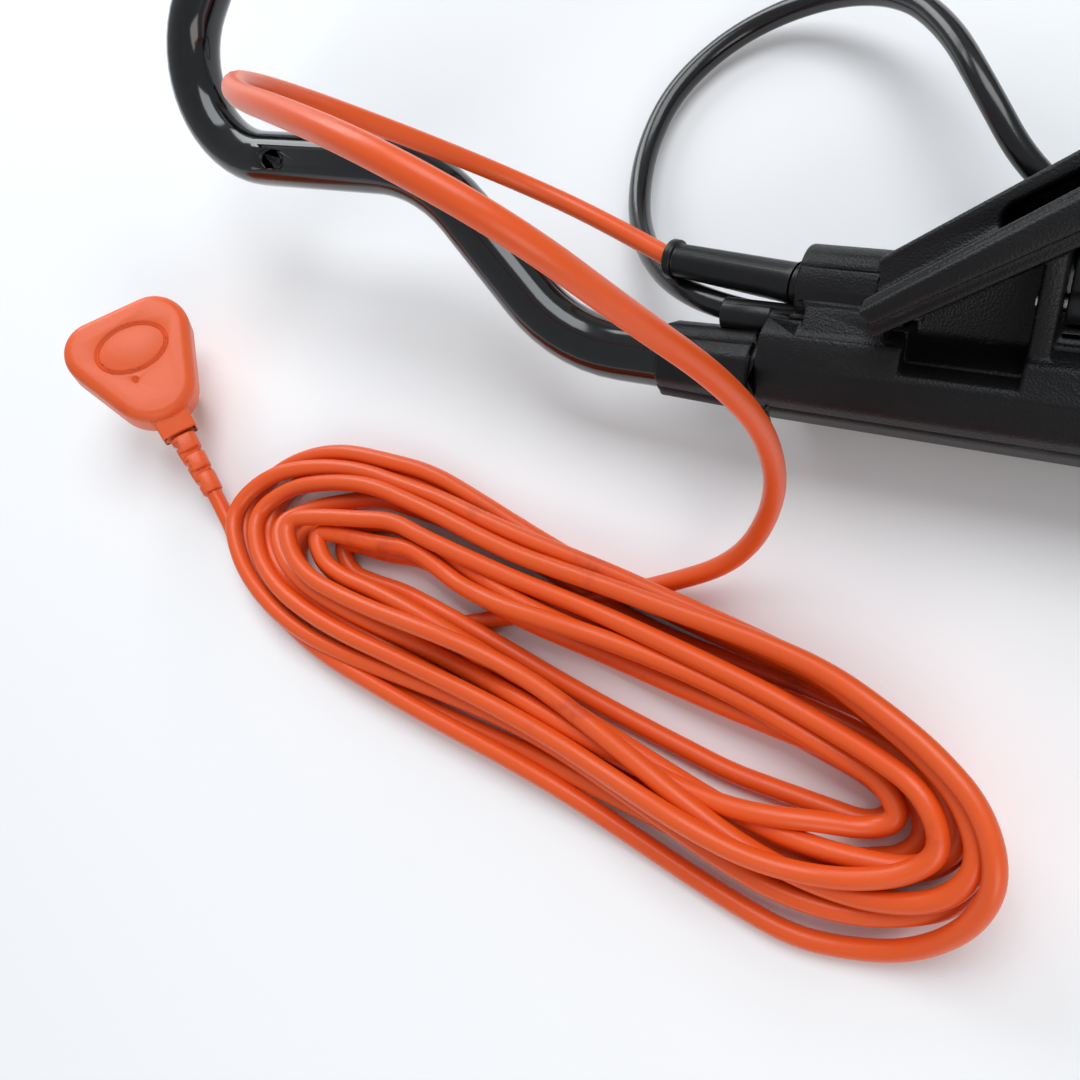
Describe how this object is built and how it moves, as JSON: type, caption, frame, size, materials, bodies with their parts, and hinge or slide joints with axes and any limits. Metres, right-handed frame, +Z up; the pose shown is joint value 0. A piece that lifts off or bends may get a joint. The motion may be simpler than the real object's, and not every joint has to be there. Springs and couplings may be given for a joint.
{
  "type": "push lawn mower",
  "caption": "Corded rotary push mower on wheels, bullhorn handle half folded with its switch box on the floor, orange lead in a loose hank with a three-pin plug.",
  "frame": {"origin": "on the floor under the middle of the mower's box, cord pieces left out", "axes": "+X to the mower's right, +Y forward from the handle to the deck, +Z up"},
  "size_m": [0.7721, 1.383, 0.2714],
  "materials": {
    "deck_plastic": "satin moulded",
    "cover_plastic": "fine textured",
    "zinc_steel": "zinc plated",
    "cast_metal": "as cast",
    "lamination_steel": "laminated",
    "bright_steel": "turned",
    "capacitor_plastic": "plain",
    "black_steel": "gloss black paint",
    "spring_steel": "drawn wire",
    "black_rubber": "semi gloss",
    "black_cable": "glossy sheath",
    "box_plastic": "fine textured",
    "blade_steel": "ground edge",
    "flap_plastic": "textured",
    "knob_plastic": "textured",
    "switch_plastic": "plain",
    "orange_lead": "satin sheath",
    "orange_plug": "satin moulded",
    "brass_pins": "plated",
    "trigger_plastic": "satin",
    "wheel_plastic": "moulded",
    "tyre": "moulded"
  },
  "bodies": {
    "deck": {"deck": "deck_plastic", "motor_cover": "cover_plastic", "cover_screws": "zinc_steel", "motor_base": "cast_metal", "motor_stator": "lamination_steel", "motor_cap": "cast_metal", "motor_bearings": "bright_steel", "motor_screws": "zinc_steel", "bracket_screws": "zinc_steel", "run_capacitor": "capacitor_plastic", "wheel_axles": "bright_steel", "axle_retainers": "zinc_steel", "handle_brackets": "black_steel", "pivot_bolts": "zinc_steel", "flap_pin": "bright_steel", "flap_spring": "spring_steel", "motor_cable_gland": "black_rubber", "motor_cable_deck_bend": "black_cable"},
    "rotor": {"rotor_shaft": "bright_steel", "rotor_core": "lamination_steel", "cooling_fan": "box_plastic", "blade": "blade_steel", "blade_hub": "box_plastic", "blade_bolt": "zinc_steel"},
    "rear_flap": {"rear_flap": "flap_plastic"},
    "wheel_front_left": {"rim_front_left": "wheel_plastic", "tyre_front_left": "tyre"},
    "wheel_front_right": {"rim_front_right": "wheel_plastic", "tyre_front_right": "tyre"},
    "wheel_rear_left": {"rim_rear_left": "wheel_plastic", "tyre_rear_left": "tyre"},
    "wheel_rear_right": {"rim_rear_right": "wheel_plastic", "tyre_rear_right": "tyre"},
    "lower_handle": {"lower_tube_left": "black_steel", "lower_tube_right": "black_steel", "joint_bolts": "zinc_steel", "lower_cable_clips": "box_plastic", "motor_cable_lower": "black_cable", "motor_cable_joint_bend": "black_cable"},
    "knob_left": {"clamp_knob_left": "knob_plastic"},
    "knob_right": {"clamp_knob_right": "knob_plastic"},
    "upper_handle": {"upper_handle": "black_steel", "switch_box_base": "box_plastic", "switch_box_cover": "box_plastic", "switch_box_screws": "zinc_steel", "microswitch": "switch_plastic", "mains_sleeve": "black_rubber", "motor_cable_sleeve": "black_rubber", "upper_cable_clips": "box_plastic", "trigger_pin": "bright_steel", "lock_button_spring": "spring_steel", "mains_lead": "orange_lead", "lead_hank": "orange_lead", "plug_body": "orange_plug", "plug_pins": "brass_pins", "plug_fuse_cover": "orange_plug", "plug_tail": "orange_lead", "motor_cable_loop": "black_cable"},
    "trigger": {"trigger": "trigger_plastic"},
    "lock_button": {"lock_off_button": "trigger_plastic"}
  },
  "joints": [
    {"name": "lower_handle_fold", "type": "hinge", "parent": "deck", "child": "lower_handle", "pos_m": [0, 0.2022, 0.15], "axis": [-1, 0, 0], "range_deg": [0, 42], "deforming": ["motor_cable_deck_bend"]},
    {"name": "upper_handle_fold", "type": "hinge", "parent": "lower_handle", "child": "upper_handle", "pos_m": [0, -0.2561, 0.25127], "axis": [-1, 0, 0], "range_deg": [0, 44.7], "deforming": ["motor_cable_joint_bend"]},
    {"name": "trigger_squeeze", "type": "hinge", "parent": "upper_handle", "child": "trigger", "pos_m": [0, -0.57942, 0.05159], "axis": [1, 0, 0], "range_deg": [0, 14], "stiffness_Nm_per_rad": 0.12, "springref_deg": -20.05},
    {"name": "lock_button_press", "type": "slide", "parent": "upper_handle", "child": "lock_button", "axis": [0, 0.5299, -0.848], "range_m": [0, 0.003], "stiffness_N_per_m": 400, "springref_m": -0.002, "deforming": ["lock_button_spring"]},
    {"name": "flap_hinge", "type": "hinge", "parent": "deck", "child": "rear_flap", "pos_m": [0, 0.1442, 0.128], "axis": [-1, 0, 0], "range_deg": [0, 75], "stiffness_Nm_per_rad": 0.05, "springref_deg": -28.65},
    {"name": "blade_spin", "type": "hinge", "parent": "deck", "child": "rotor", "pos_m": [0, 0.3672, 0.1], "axis": [0, 0, 1], "continuous": true},
    {"name": "knob_left_turn", "type": "hinge", "parent": "lower_handle", "child": "knob_left", "pos_m": [-0.208, -0.2561, 0.25127], "axis": [-1, 0, 0], "range_deg": [0, 180]},
    {"name": "knob_right_turn", "type": "hinge", "parent": "lower_handle", "child": "knob_right", "pos_m": [0.208, -0.2561, 0.25127], "axis": [1, 0, 0], "range_deg": [0, 180]},
    {"name": "wheel_front_left_roll", "type": "hinge", "parent": "deck", "child": "wheel_front_left", "pos_m": [-0.226, 0.5472, 0.07], "axis": [1, 0, 0], "continuous": true},
    {"name": "wheel_front_right_roll", "type": "hinge", "parent": "deck", "child": "wheel_front_right", "pos_m": [0.226, 0.5472, 0.07], "axis": [1, 0, 0], "continuous": true},
    {"name": "wheel_rear_left_roll", "type": "hinge", "parent": "deck", "child": "wheel_rear_left", "pos_m": [-0.226, 0.1972, 0.085], "axis": [1, 0, 0], "continuous": true},
    {"name": "wheel_rear_right_roll", "type": "hinge", "parent": "deck", "child": "wheel_rear_right", "pos_m": [0.226, 0.1972, 0.085], "axis": [1, 0, 0], "continuous": true}
  ]
}
